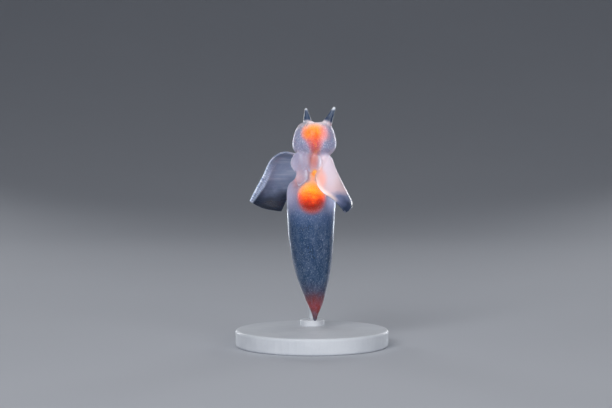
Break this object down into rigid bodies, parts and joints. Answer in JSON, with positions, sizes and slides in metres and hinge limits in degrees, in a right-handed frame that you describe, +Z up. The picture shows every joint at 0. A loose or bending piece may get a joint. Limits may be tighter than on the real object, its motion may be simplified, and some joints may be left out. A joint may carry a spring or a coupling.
{
  "type": "sea angel",
  "caption": "Slender translucent sea slug that swims upright, with two wing-like flaps at the neck, horn-like feelers and a pointed tail, held on a rod and round base.",
  "frame": {"origin": "centre of the stand's flat underside, on the surface it stands on", "axes": "+Z up from tail to head, and -Y towards the picture's camera. The belly is turned 35 degrees from -Y towards -X."},
  "size_m": [0.032, 0.032, 0.0501],
  "materials": {
    "flesh": "soft wet translucent flesh, pale lilac with orange organs showing through and a red tail",
    "wing": "thin translucent flap, bluish white and paler along its front edge",
    "stand": "clear polished acrylic",
    "organ": "soft orange and red tissue seen through the flesh",
    "eye": "dark wet speck"
  },
  "bodies": {
    "root": {"stand_base": "stand", "stand_rod": "stand", "tail_tip": "flesh", "tail": "flesh", "torso": "flesh", "neck": "flesh", "head": "flesh", "tentacle_left": "flesh", "tentacle_right": "flesh", "nape_tentacle_left": "flesh", "nape_tentacle_right": "flesh", "foot_lobe_left": "flesh", "foot_lobe_right": "flesh", "foot_lobe_middle": "flesh", "wing_left": "wing", "wing_right": "wing"}
  },
  "joints": []
}
